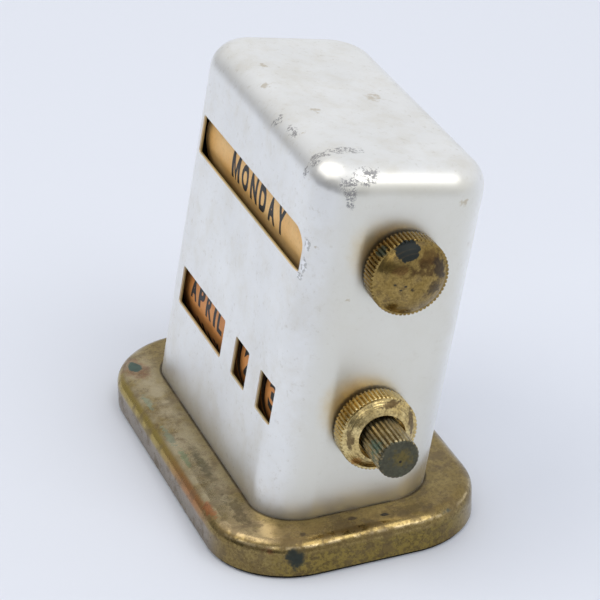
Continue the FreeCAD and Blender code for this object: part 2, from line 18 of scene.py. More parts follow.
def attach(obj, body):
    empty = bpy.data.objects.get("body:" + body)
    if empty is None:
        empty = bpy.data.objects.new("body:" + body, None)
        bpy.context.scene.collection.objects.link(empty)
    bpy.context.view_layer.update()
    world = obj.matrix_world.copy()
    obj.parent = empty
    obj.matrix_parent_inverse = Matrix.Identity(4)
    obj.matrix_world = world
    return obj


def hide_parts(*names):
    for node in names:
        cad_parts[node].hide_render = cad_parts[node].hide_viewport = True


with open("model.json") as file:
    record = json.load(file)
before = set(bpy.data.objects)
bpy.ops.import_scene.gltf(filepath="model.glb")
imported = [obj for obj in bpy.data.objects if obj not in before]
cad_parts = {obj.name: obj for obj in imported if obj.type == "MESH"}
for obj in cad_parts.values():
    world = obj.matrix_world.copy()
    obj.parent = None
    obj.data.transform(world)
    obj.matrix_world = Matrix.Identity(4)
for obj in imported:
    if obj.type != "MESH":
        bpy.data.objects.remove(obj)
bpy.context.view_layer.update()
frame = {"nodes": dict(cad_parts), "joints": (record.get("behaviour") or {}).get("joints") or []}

LOG = logging.getLogger("desk_calendar")
MM = 0.001
LEAN = math.radians(11.0)

# The foot of the housing's front face, and the sizes of its outline and of the base's.
FOOT = Vector((0.0, -15.4845, 6.7))
HOUSING_HALF = (31.0, 15.2)
HOUSING_CORNER = 8.2
HOUSING_TOP = 64.0
HOUSING_TOP_ROUND = 4.9
BASE_HALF = (38.0, 23.484)
BASE_CORNER = 14.6

Socket = bpy.types.NodeSocket
Tree = bpy.types.NodeTree


# ------------------------------------------------------------------ small helpers
def linear(hex_colour: str) -> tuple[float, float, float, float]:
    """Turn an sRGB hex colour into linear light.

    Args:
        hex_colour: Six hex digits, such as "C8B070".

    Returns:
        Linear red, green and blue, with an alpha of one.
    """
    channels = [int(hex_colour[start:start + 2], 16) / 255 for start in (0, 2, 4)]
    light = [c / 12.92 if c <= 0.04045 else ((c + 0.055) / 1.055) ** 2.4 for c in channels]
    return (light[0], light[1], light[2], 1.0)


def add_node(tree: Tree, kind: str, inputs: dict | None = None, **settings) -> bpy.types.Node:
    """Add a node, set its properties, and fill or link its inputs.

    Args:
        tree: The node tree that gets the node.
        kind: The node's type name.
        inputs: Input name or number to a value, or to the socket that feeds it.
        settings: Properties of the node itself.

    Returns:
        The new node.
    """
    node = tree.nodes.new(kind)
    for name, value in settings.items():
        setattr(node, name, value)
    for name, value in (inputs or {}).items():
        if isinstance(value, bpy.types.NodeSocket):
            tree.links.new(value, node.inputs[name])
        else:
            node.inputs[name].default_value = value
    return node


def deselect_all() -> None:
    """Leave nothing selected."""
    if bpy.context.object and bpy.context.object.mode != "OBJECT":
        bpy.ops.object.mode_set(mode="OBJECT")
    bpy.ops.object.select_all(action="DESELECT")


def make_active(piece: bpy.types.Object) -> bpy.types.Object:
    """Select one object alone and make it the active one.

    Args:
        piece: The object.

    Returns:
        The same object.
    """
    deselect_all()
    piece.select_set(True)
    bpy.context.view_layer.objects.active = piece
    return piece


def leaning() -> Matrix:
    """Rotation that takes upright drawing axes into the leaning frame."""
    return Matrix.Rotation(-LEAN, 4, "X")


def on_housing(across: float, inward: float, up: float) -> tuple[float, float, float]:
    """A point given in the housing's own leaning axes.

    Args:
        across: Millimetres to the right of the middle.
        inward: Millimetres behind the front face.
        up: Millimetres up the front face from the base.

    Returns:
        The same point in millimetres in the model's axes.
    """
    return tuple(FOOT + leaning() @ Vector((across, inward, up)))


def joint_point(name: str) -> Vector:
    """A point on a joint's axis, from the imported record."""
    joint = next(item for item in frame["joints"] if item["name"] == name)
    return Vector(joint["pos_m"])


def paint(node: str, material: bpy.types.Material) -> None:
    """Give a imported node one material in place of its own."""
    piece = frame["nodes"][node]
    piece.data.materials.clear()
    piece.data.materials.append(material)


# ------------------------------------------------------------------ marks
@dataclass(frozen=True)
class Mark:
    """An irregular mark on a surface: a ragged ball of influence round one point.

    Args:
        centre: The point, in millimetres.
        reach: Half size along x, y and z, in millimetres.
        colour: The mark's own colour.
        ragged: How far its edge wanders, as a share of its size.
        soft: Width of its edge, as a share of its size.
        strength: How much of the surface it hides.
        metal: Whether the mark still shines as metal, nought to one.
    """

    centre: tuple[float, float, float]
    reach: tuple[float, float, float]
    colour: str = "6E6D6B"
    ragged: float = 0.8
    soft: float = 0.35
    strength: float = 0.8
    metal: float = 0.6


# ------------------------------------------------------------------ finishes
@dataclass(frozen=True)
class Finish:
    """A surface finish with its own material."""

    name: str

    def start(self) -> tuple[bpy.types.Material, Tree, bpy.types.Node, Socket]:
        """Make the material and its shader.

        Returns:
            The material, its node tree, its shader node and the object coordinates.
        """
        material = bpy.data.materials.new(self.name)
        material.use_nodes = True
        tree = material.node_tree
        shader = tree.nodes["Principled BSDF"]
        place = add_node(tree, "ShaderNodeTexCoord")
        return material, tree, shader, place.outputs["Object"]

    def maths(self, tree: Tree, operation: str, first: Socket | float,
              second: Socket | float = 0.0) -> Socket:
        """One sum on two numbers."""
        return add_node(tree, "ShaderNodeMath", {0: first, 1: second},
                        operation=operation).outputs[0]

    def noise(self, tree: Tree, place: Socket, size_mm: float, seed: float, detail: float = 4.0,
              rough: float = 0.55) -> Socket:
        """Cloudy noise of one real size.

        Args:
            tree: The node tree.
            place: Coordinates that the pattern is drawn in.
            size_mm: Typical size of a cloud.
            seed: Picks one pattern.
            detail: How many finer layers are added.
            rough: How strong the finer layers are.

        Returns:
            A socket around one half.
        """
        return add_node(tree, "ShaderNodeTexNoise",
                        {"Vector": place, "W": seed, "Scale": 1 / (size_mm * MM),
                         "Detail": detail, "Roughness": rough},
                        noise_dimensions="4D").outputs["Fac"]

    def step(self, tree: Tree, value: Socket, low: float, high: float) -> Socket:
        """Ease from nought to one as a value goes from low to high."""
        return add_node(tree, "ShaderNodeMapRange",
                        {"Value": value, "From Min": low, "From Max": high},
                        interpolation_type="SMOOTHSTEP").outputs["Result"]

    def patches(self, tree: Tree, place: Socket, size_mm: float, cover: float, soft: float,
                seed: float, detail: float = 4.0, rough: float = 0.55) -> Socket:
        """Irregular patches of one size that cover part of the surface.

        Args:
            tree: The node tree.
            place: Coordinates that the pattern is drawn in.
            size_mm: Typical size of a patch.
            cover: Share of the surface inside patches, nought to one.
            soft: Width of the patch's edge.
            seed: Picks one pattern of patches.
            detail: How many finer layers break up the edge.
            rough: How strong the finer layers are.

        Returns:
            A socket that is one inside the patches.
        """
        cloud = self.noise(tree, place, size_mm, seed, detail, rough)
        edge = 0.5 + (0.5 - cover) * 0.45
        return self.step(tree, cloud, edge - soft / 2, edge + soft / 2)

    def flecks(self, tree: Tree, place: Socket, size_mm: float, width: float,
               seed: float) -> Socket:
        """Thin wandering flecks, as a scratched or rubbed surface has.

        Args:
            tree: The node tree.
            place: Coordinates that the pattern is drawn in.
            size_mm: Typical distance between flecks.
            width: Width of a fleck as a share of the noise's height.
            seed: Picks one pattern.

        Returns:
            A socket that is one inside the flecks.
        """
        cloud = self.noise(tree, place, size_mm, seed, 5.0, 0.65)
        off = self.maths(tree, "ABSOLUTE", self.maths(tree, "SUBTRACT", cloud, 0.5))
        thin = self.step(tree, off, width, width * 0.4)
        return self.both(tree, thin, self.patches(tree, place, size_mm * 2.0, 0.5, 0.1, seed + 1))

    def blend(self, tree: Tree, factor: Socket | float, under: Socket | tuple,
              over: Socket | tuple) -> Socket:
        """Lay one colour over another by a factor."""
        mix = add_node(tree, "ShaderNodeMix", {0: factor, 6: under, 7: over}, data_type="RGBA")
        return mix.outputs[2]

    def levels(self, tree: Tree, factor: Socket, low: Socket | float,
               high: Socket | float) -> Socket:
        """Slide a number from low to high as a factor goes from nought to one."""
        mix = add_node(tree, "ShaderNodeMix", {0: factor, 2: low, 3: high}, data_type="FLOAT")
        return mix.outputs[0]

    def both(self, tree: Tree, first: Socket, second: Socket | float) -> Socket:
        """Multiply two factors."""
        return self.maths(tree, "MULTIPLY", first, second)

    def either(self, tree: Tree, first: Socket, second: Socket) -> Socket:
        """The greater of two factors."""
        return self.maths(tree, "MAXIMUM", first, second)

    def along(self, tree: Tree, place: Socket, origin_mm: Vector, direction: Vector) -> Socket:
        """Distance in millimetres along a direction from a point."""
        scaled = add_node(tree, "ShaderNodeVectorMath",
                          {0: place, 1: (1 / MM, 1 / MM, 1 / MM)}, operation="MULTIPLY")
        moved = add_node(tree, "ShaderNodeVectorMath",
                         {0: scaled.outputs[0], 1: tuple(origin_mm)}, operation="SUBTRACT")
        dot = add_node(tree, "ShaderNodeVectorMath", {0: moved.outputs[0], 1: tuple(direction)},
                       operation="DOT_PRODUCT")
        return dot.outputs["Value"]

    def outline(self, tree: Tree, across: Socket, inward: Socket, half: tuple[float, float],
                corner: float) -> Socket:
        """Distance outside a rounded rectangle, less than nought within it.

        Args:
            tree: The node tree.
            across: First coordinate from the rectangle's middle, in millimetres.
            inward: Second coordinate from its middle, in millimetres.
            half: Half of each side.
            corner: Corner radius.

        Returns:
            The signed distance in millimetres.
        """
        legs = []
        for value, side in ((across, half[0]), (inward, half[1])):
            size = self.maths(tree, "ABSOLUTE", value)
            legs.append(self.maths(tree, "SUBTRACT", size, side - corner))
        return self.rounded(tree, legs[0], legs[1], corner)

    def rounded(self, tree: Tree, first: Socket, second: Socket, radius: float) -> Socket:
        """Join two signed distances, each measured from the start of a round corner."""
        inside = self.maths(tree, "MINIMUM", self.maths(tree, "MAXIMUM", first, second), 0.0)
        legs = [self.maths(tree, "MAXIMUM", leg, 0.0) for leg in (first, second)]
        squares = [self.both(tree, leg, leg) for leg in legs]
        far = self.maths(tree, "SQRT", self.maths(tree, "ADD", squares[0], squares[1]))
        return self.maths(tree, "SUBTRACT", self.maths(tree, "ADD", far, inside), radius)

    def near(self, tree: Tree, place: Socket, mark: Mark, seed: float) -> Socket:
        """The ragged area of one mark.

        Args:
            tree: The node tree.
            place: Object coordinates.
            mark: The mark.
            seed: Picks the shape of its ragged edge.

        Returns:
            A socket that is one inside the mark and nought outside.
        """
        scale = [1 / (reach * MM) for reach in mark.reach]
        centre = tuple(value * MM for value in mark.centre)
        moved = add_node(tree, "ShaderNodeVectorMath", {0: place, 1: centre},
                         operation="SUBTRACT")
        shrunk = add_node(tree, "ShaderNodeVectorMath", {0: moved.outputs[0], 1: scale},
                          operation="MULTIPLY")
        far = add_node(tree, "ShaderNodeVectorMath", {0: shrunk.outputs[0]},
                       operation="LENGTH").outputs["Value"]
        size_mm = max(min(mark.reach) * 0.9, 0.4)
        wander = self.noise(tree, place, size_mm, seed, 5.0, 0.6)
        shift = self.both(tree, self.maths(tree, "SUBTRACT", wander, 0.5), 2.4 * mark.ragged)
        return self.step(tree, self.maths(tree, "ADD", far, shift), 1.0, 1.0 - mark.soft)

    def dents(self, tree: Tree, shader: bpy.types.Node, relief: Socket, depth_mm: float,
              strength: float = 1.0) -> None:
        """Drive the shader's normal from a relief of a real depth."""
        bump = add_node(tree, "ShaderNodeBump",
                        {"Height": relief, "Distance": depth_mm * MM, "Strength": strength})
        tree.links.new(bump.outputs["Normal"], shader.inputs["Normal"])


@dataclass(frozen=True)
class SatinAluminium(Finish):
    """Deep-drawn aluminium with a thin clear lacquer: silvery white with soft highlights."""

    colour: str = "F9F9F6"
    scuffs: tuple[Mark, ...] = ()
    # Ochre spots, and the painted golden reflections round the knobs.
    stains_and_painted_reflections: tuple[Mark, ...] = ()
    chips: tuple[Mark, ...] = ()

    def sheet_depth(self, tree: Tree, place: Socket) -> tuple[Socket, Socket]:
        """Depth below the housing's outer skin, and height up its front, in millimetres."""
        foot = Vector(FOOT)
        turn = leaning()
        across = self.along(tree, place, foot, Vector((1, 0, 0)))
        inward = self.along(tree, place, foot, turn @ Vector((0, 1, 0)))
        up = self.along(tree, place, foot, turn @ Vector((0, 0, 1)))
        middle = self.maths(tree, "SUBTRACT", inward, HOUSING_HALF[1])
        side = self.outline(tree, across, middle, HOUSING_HALF, HOUSING_CORNER)
        from_side = self.maths(tree, "ADD", side, HOUSING_TOP_ROUND)
        from_top = self.maths(tree, "SUBTRACT", up, HOUSING_TOP - HOUSING_TOP_ROUND)
        outside = self.rounded(tree, from_side, from_top, HOUSING_TOP_ROUND)
        return self.maths(tree, "MULTIPLY", outside, -1.0), up

    def build(self) -> bpy.types.Material:
        """Build the sheet's material, with scuffs, ochre spots, chips, painted golden reflections round the knobs, a
        painted highlight along the sheet's edges and an inner side painted dark as shade.
        """
        material, tree, shader, place = self.start()
        depth, up = self.sheet_depth(tree, place)
        drawn = add_node(tree, "ShaderNodeMapping", {"Vector": place, "Scale": (1.0, 1.0, 0.1)})
        grain = self.noise(tree, drawn.outputs[0], 0.3, 1.0, 3.0)
        cloud = self.patches(tree, place, 11.0, 0.5, 0.6, 2.0)
        colour = self.blend(tree, cloud, linear(self.colour), linear("F0F0ED"))
        warm = self.both(tree, self.patches(tree, place, 6.0, 0.3, 0.4, 7.0, 6.0, 0.7), 0.4)
        colour = self.blend(tree, warm, colour, linear("D9D1BC"))
        fine = self.patches(tree, place, 0.9, 0.16, 0.2, 12.0, 3.0, 0.7)
        colour = self.blend(tree, self.both(tree, fine, 0.3), colour, linear("B9B09A"))
        specks = self.patches(tree, place, 0.9, -0.16, 0.06, 4.0, 2.0)
        colour = self.blend(tree, self.both(tree, specks, 0.75), colour, linear("8C7A55"))
        across = self.along(tree, place, FOOT, Vector((1, 0, 0)))
        # The right side is painted warmer and darker: painted shade with the warm reflection of the brass knobs.
        right_side_painted_shade = self.both(tree, self.step(tree, across, 28.0, 31.0), 0.75)
        colour = self.blend(tree, right_side_painted_shade, colour, linear("DDDACD"))
        dull = specks
        # Lay the ochre spots and the painted golden reflections round the knobs.
        for number, mark in enumerate(self.stains_and_painted_reflections):
            area = self.both(tree, self.near(tree, place, mark, 40.0 + number), mark.strength)
            colour = self.blend(tree, area, colour, linear(mark.colour))
        worn = None
        for number, mark in enumerate(self.scuffs):
            area = self.near(tree, place, mark, 60.0 + number)
            worn = area if worn is None else self.either(tree, worn, area)
        if worn is not None:
            lines = self.either(tree, self.flecks(tree, place, 0.75, 0.05, 21.0),
                                self.both(tree, self.patches(tree, place, 0.6, 0.44, 0.08, 23.0,
                                                             5.0, 0.7), 0.9))
            rubbed = self.both(tree, worn, lines)
            colour = self.blend(tree, self.both(tree, rubbed, 0.85), colour, linear("77767A"))
            dull = self.either(tree, dull, rubbed)
        relief = grain
        for number, mark in enumerate(self.chips):
            area = self.near(tree, place, mark, 80.0 + number)
            crumb = self.noise(tree, place, 0.5, 85.0, 3.0)
            bright = self.step(tree, crumb, 0.46, 0.54)
            tone = self.blend(tree, bright, linear("C2C1BC"), linear("FFFFFF"))
            colour = self.blend(tree, self.both(tree, area, 0.85), colour, tone)
            relief = self.levels(tree, area, relief, self.both(tree, crumb, 14.0))
        outer = self.step(tree, depth, 0.05, 0.02)
        # The outer part of each sheet edge is painted as a cream highlight line over the edge's olive tone.
        rim = self.step(tree, depth, 0.30, 0.22)
        # The inner side of the sheet is painted near black as shade, darkening the gaps behind the windows.
        below = self.step(tree, depth, 0.52, 0.57)
        cut_edge_and_painted_highlight = self.blend(tree, rim, linear("BBA873"), linear("FFF4D6"))
        colour = self.blend(tree, outer, cut_edge_and_painted_highlight, colour)
        colour = self.blend(tree, below, colour, linear("2B261F"))
        tree.links.new(colour, shader.inputs["Base Color"])
        rough = self.levels(tree, grain, 0.33, 0.42)
        rough = self.levels(tree, self.either(tree, dull, below), rough, 0.6)
        tree.links.new(rough, shader.inputs["Roughness"])
        metal = self.levels(tree, self.both(tree, dull, 0.6), 1.0, 0.3)
        tree.links.new(self.levels(tree, outer, 0.1, metal), shader.inputs["Metallic"])
        self.dents(tree, shader, relief, 0.004)
        return material


@dataclass(frozen=True)
class AgedBrass(Finish):
    """Unlacquered brass left to age: olive gold with brown tarnish, pits and verdigris."""

    colour: str = "A8935A"
    shade: str = "86713E"
    brown: float = 0.4
    tarnish_colour: str = "5C4A2C"
    green: float = 0.06
    pits: float = 0.0
    patch_mm: float = 6.0
    seed: float = 1.0
    roughness: float = 0.24
    marks: tuple[Mark, ...] = ()
    axle: Vector | None = None
    turning_mm: float = 0.22
    turning_depth: float = 0.6
    turning_stain: float = 0.3

    def radius(self, tree: Tree, place: Socket) -> Socket:
        """Distance from the knob's axle, in millimetres."""
        centre = self.axle / MM
        side = self.along(tree, place, centre, Vector((0, 1, 0)))
        up = self.along(tree, place, centre, Vector((0, 0, 1)))
        squares = self.maths(tree, "ADD", self.both(tree, side, side), self.both(tree, up, up))
        return self.maths(tree, "SQRT", squares)

    def ground(self, tree: Tree, place: Socket) -> Socket:
        """Colour of the clean metal, clouded and finely mottled."""
        tone = self.patches(tree, place, self.patch_mm, 0.5, 0.5, self.seed, 5.0, 0.65)
        colour = self.blend(tree, tone, linear(self.colour), linear(self.shade))
        fine = self.patches(tree, place, 0.5, 0.45, 0.2, self.seed + 5, 4.0, 0.75)
        return self.blend(tree, self.both(tree, fine, 0.55), colour, linear(self.tarnish_colour))

    def build(self) -> bpy.types.Material:
        """Build the brass, patched with tarnish of several sizes."""
        material, tree, shader, place = self.start()
        colour = self.ground(tree, place)
        colour = self.place_tones(tree, place, colour)
        tarnish = self.patches(tree, place, self.patch_mm * 0.5, self.brown, 0.16, self.seed + 3,
                               7.0, 0.68)
        colour = self.blend(tree, self.both(tree, tarnish, 0.6), colour,
                            linear(self.tarnish_colour))
        dull = self.both(tree, tarnish, 0.5)
        for number, mark in enumerate(self.marks):
            area = self.near(tree, place, mark, self.seed + 30 + number)
            mottle = self.patches(tree, place, 0.7, 0.4, 0.3, self.seed + 50 + number)
            tone = self.blend(tree, self.both(tree, mottle, 0.35), linear(mark.colour),
                              linear("141512"))
            area = self.both(tree, area, mark.strength)
            colour = self.blend(tree, area, colour, tone)
            dull = self.levels(tree, area, dull, 1.0 - mark.metal)
        if self.axle is not None:
            arcs = add_node(tree, "ShaderNodeTexNoise",
                            {"W": self.radius(tree, place), "Scale": 1 / (self.turning_mm * 1.6),
                             "Detail": 2.0}, noise_dimensions="1D").outputs["Fac"]
            arcs = self.both(tree, self.step(tree, arcs, 0.5, 0.68),
                             self.patches(tree, place, 2.6, 0.45, 0.3, self.seed + 15, 4.0))
            colour = self.blend(tree, self.both(tree, arcs, self.turning_stain), colour,
                                linear(self.tarnish_colour))
        bloom = self.patches(tree, place, 2.2, self.green, 0.12, self.seed + 9, 6.0, 0.7)
        colour = self.blend(tree, self.both(tree, bloom, 0.6), colour, linear("5F6F55"))
        holes = self.patches(tree, place, 0.8, self.pits - 0.25, 0.05, self.seed + 11, 2.0)
        colour = self.blend(tree, self.both(tree, holes, 0.85), colour, linear("231B10"))
        tree.links.new(colour, shader.inputs["Base Color"])
        dull = self.either(tree, dull, self.both(tree, bloom, 0.7))
        tree.links.new(self.levels(tree, dull, 1.0, 0.25), shader.inputs["Metallic"])
        rough = self.levels(tree, dull, self.roughness, 0.6)
        tree.links.new(rough, shader.inputs["Roughness"])
        mottle = self.noise(tree, place, 0.45, self.seed + 13, 3.0)
        relief = self.levels(tree, holes, mottle, -2.0)
        if self.axle is not None:
            lines = add_node(tree, "ShaderNodeTexNoise",
                             {"W": self.radius(tree, place), "Scale": 1 / self.turning_mm,
                              "Detail": 3.0}, noise_dimensions="1D").outputs["Fac"]
            relief = self.maths(tree, "ADD", relief, self.both(tree, lines, self.turning_depth))
        self.dents(tree, shader, relief, 0.010)
        return material

    def place_tones(self, tree: Tree, place: Socket, colour: Socket) -> Socket:
        """Tones that belong to one part of the piece; a plain piece has none."""
        return colour


@dataclass(frozen=True)
class AgedBrassBase(AgedBrass):
    """The base's brass: greyed on top, golden along its rounded edge, speckled on its walls."""

    def place_tones(self, tree: Tree, place: Socket, colour: Socket) -> Socket:
        """Lay the tones of the base's top, edge, walls and the seam round the housing, with painted shade round the
        housing and on the right wall, and a painted highlight on the rubbed edge.
        """
        zero = Vector((0, 0, 0))
        across = self.along(tree, place, zero, Vector((1, 0, 0)))
        inward = self.along(tree, place, zero, Vector((0, 1, 0)))
        height = self.along(tree, place, zero, Vector((0, 0, 1)))
        rim = self.outline(tree, across, inward, BASE_HALF, BASE_CORNER)
        flat = self.step(tree, rim, -0.7, -1.5)
        front = self.step(tree, inward, -14.0, -18.0)
        right = self.step(tree, across, 30.0, 36.0)
        wander = self.noise(tree, place, 5.0, self.seed + 70, 5.0, 0.65)
        grey_top = self.both(tree, self.both(tree, flat, front), self.step(tree, wander, 0.3, 0.6))
        colour = self.blend(tree, self.both(tree, grey_top, 0.8), colour, linear("B3A688"))
        near_side = self.both(tree, self.both(tree, flat, right), 0.55)
        colour = self.blend(tree, near_side, colour, linear("8A7448"))
        near_corner = self.both(tree, self.both(tree, flat, self.step(tree, inward, -8.0, -17.0)),
                                self.both(tree, self.step(tree, across, 20.0, 29.0),
                                          self.step(tree, wander, 0.35, 0.55)))
        colour = self.blend(tree, self.both(tree, near_corner, 0.75), colour, linear("BCA478"))
        wall = self.step(tree, height, 4.9, 4.2)
        left_front = self.both(tree, self.step(tree, inward, -22.0, -24.0),
                               self.step(tree, across, 34.0, 22.0))
        mauve = self.both(tree, self.both(tree, wall, left_front), 0.8)
        colour = self.blend(tree, mauve, colour, linear("877B70"))
        speckle = self.patches(tree, place, 0.7, 0.5, 0.10, self.seed + 72, 3.0, 0.7)
        right_wall = self.both(tree, wall, self.step(tree, across, 34.0, 38.6))
        # The right wall is painted darker: a painted dark reflection. The golden speckle over it is the brass's own
        # mottle.
        colour = self.blend(tree, self.both(tree, right_wall, 0.5), colour, linear("51462B"))
        bright_wall = self.both(tree, right_wall, speckle)
        colour = self.blend(tree, self.both(tree, bright_wall, 0.8), colour, linear("9A8648"))
        edge = self.both(tree, self.step(tree, rim, -1.5, -0.6), self.step(tree, height, 3.9, 5.0))
        gold = self.both(tree, self.both(tree, edge, self.step(tree, inward, -17.0, -21.0)),
                         self.step(tree, across, 26.0, 16.0))
        tint = self.blend(tree, self.step(tree, across, -4.0, 14.0), linear("B09A4E"),
                          linear("B27A4A"))
        colour = self.blend(tree, self.both(tree, gold, 0.8), colour, tint)
        # A pale band on the rubbed right edge: worn brass, with a painted highlight along it.
        worn = self.both(tree, self.both(tree, self.step(tree, rim, -0.8, -0.3),
                                         self.step(tree, height, 5.4, 5.9)),
                         self.both(tree, self.step(tree, across, 26.0, 31.0),
                                   self.step(tree, self.noise(tree, place, 2.0, 7.0, 5.0, 0.7),
                                             0.42, 0.56)))
        colour = self.blend(tree, self.both(tree, worn, 0.9), colour, linear("F3DDB0"))
        dust = self.both(tree, self.patches(tree, place, 0.9, -0.2, 0.05, self.seed + 74, 2.0), flat)
        colour = self.blend(tree, self.both(tree, dust, 0.85), colour, linear("EFE6CC"))
        slope = math.cos(LEAN)
        seat = self.outline(tree, across, inward,
                            (HOUSING_HALF[0], HOUSING_HALF[1] / slope), HOUSING_CORNER)
        seam = self.both(tree, self.step(tree, seat, 0.55, 0.2), self.step(tree, across, 34.0, 30.0))
        # A darker band on the base round the housing's foot: painted shade.
        painted_shade_round_housing = self.both(tree, self.step(tree, seat, 2.6, 0.3), 0.35)
        colour = self.blend(tree, painted_shade_round_housing, colour, linear("6E5F35"))
        return self.blend(tree, self.both(tree, seam, 0.85), colour, linear("2C2415"))


@dataclass(frozen=True)
class YellowedPaper(Finish):
    """Uncoated printed paper, yellowed by age: warm cream, a little darker in clouds."""

    colour: str = "FFD591"
    deep: str = "F2B866"

    def build(self) -> bpy.types.Material:
        """Build the paper with its clouded tone and fine fibre."""
        material, tree, shader, place = self.start()
        cloud = self.patches(tree, place, 7.0, 0.5, 0.6, 3.0)
        colour = self.blend(tree, cloud, linear(self.colour), linear(self.deep))
        fibre = self.patches(tree, place, 0.5, 0.3, 0.3, 5.0)
        colour = self.blend(tree, self.both(tree, fibre, 0.25), colour, linear("B98D4D"))
        tree.links.new(colour, shader.inputs["Base Color"])
        shader.inputs["Roughness"].default_value = 0.5
        self.dents(tree, shader, fibre, 0.01)
        return material


@dataclass(frozen=True)
class PrintInk(Finish):
    """Faded black letterpress ink: a blue-grey charcoal that lets the paper show in specks."""

    def build(self) -> bpy.types.Material:
        """Build the ink."""
        material, tree, shader, place = self.start()
        worn = self.patches(tree, place, 0.5, 0.25, 0.3, 8.0)
        colour = self.blend(tree, worn, linear("201F1F"), linear("3C3834"))
        tree.links.new(colour, shader.inputs["Base Color"])
        shader.inputs["Roughness"].default_value = 0.5
        return material


@dataclass(frozen=True)
class PlainStock(Finish):
    """A plain inner stock, such as card, felt, steel or bronze, with a fine mottle."""

    colour: str = "808080"
    shade: str = "606060"
    metallic: float = 0.0
    roughness: float = 0.8
    grain_mm: float = 0.4

    def build(self) -> bpy.types.Material:
        """Build the stock with its two tones and its grain."""
        material, tree, shader, place = self.start()
        mottle = self.patches(tree, place, self.grain_mm * 6, 0.5, 0.5, 2.0)
        grain = self.patches(tree, place, self.grain_mm, 0.5, 0.5, 6.0)
        tone = self.blend(tree, self.levels(tree, grain, mottle, 1.0), linear(self.colour),
                          linear(self.shade))
        tree.links.new(tone, shader.inputs["Base Color"])
        shader.inputs["Metallic"].default_value = self.metallic
        shader.inputs["Roughness"].default_value = self.roughness
        self.dents(tree, shader, grain, 0.02)
        return material


# ------------------------------------------------------------------ softened metal pieces
@dataclass(frozen=True)
class SoftenedPiece:
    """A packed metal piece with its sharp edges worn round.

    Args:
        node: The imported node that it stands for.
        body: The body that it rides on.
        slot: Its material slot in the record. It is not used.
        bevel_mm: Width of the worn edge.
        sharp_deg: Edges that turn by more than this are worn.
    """

    node: str
    body: str
    slot: str
    bevel_mm: float
    sharp_deg: float = 32.0

    def build(self, material: bpy.types.Material) -> bpy.types.Object:
        """Copy the node's shape, join its triangles and round its edges.

        Args:
            material: The finish.

        Returns:
            The new piece.
        """
        deselect_all()
        data = frame["nodes"][self.node].data.copy()
        piece = bpy.data.objects.new(f"{self.node}_worn", data)
        bpy.context.scene.collection.objects.link(piece)
        make_active(piece)
        if data.has_custom_normals:
            bpy.ops.mesh.customdata_custom_splitnormals_clear()
        bpy.ops.object.mode_set(mode="EDIT")
        bpy.ops.mesh.select_all(action="SELECT")
        bpy.ops.mesh.remove_doubles(threshold=1e-6)
        bpy.ops.mesh.dissolve_limited(angle_limit=math.radians(0.4))
        bpy.ops.object.mode_set(mode="OBJECT")
        bevel = piece.modifiers.new("worn_edges", "BEVEL")
        bevel.width = self.bevel_mm * MM
        bevel.segments = 2
        bevel.limit_method = "ANGLE"
        bevel.angle_limit = math.radians(self.sharp_deg)
        bevel.miter_outer = "MITER_ARC"
        bpy.ops.object.modifier_apply(modifier=bevel.name)
        bpy.ops.object.shade_smooth_by_angle(angle=math.radians(40))
        weighted = piece.modifiers.new("flat_faces", "WEIGHTED_NORMAL")
        weighted.keep_sharp = True
        weighted.weight = 100
        bpy.ops.object.modifier_apply(modifier=weighted.name)
        piece.data.materials.clear()
        piece.data.materials.append(material)
        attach(piece, self.body)
        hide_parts(self.node)
        return piece


# ------------------------------------------------------------------ printed bands
# Widths of the letters that differ from the others, and the space between letters, as shares.
LETTER_WIDTHS = {"I": 0.36, "M": 1.2, "W": 1.25, "L": 0.85, "1": 0.5}
LETTER_GAP = 0.34
# A letter that is put together from the strokes of others, with where each starts and ends.
LETTER_PARTS = {"M": (("I", 0.0, 0.25), ("V", 0.09, 0.91), ("I", 0.75, 1.0))}


class Drum(Enum):
    """The four drums, with the joint that each one turns on."""

    WEEKDAY = "weekday"
    MONTH = "month"
    TENS = "tens"
    UNITS = "units"


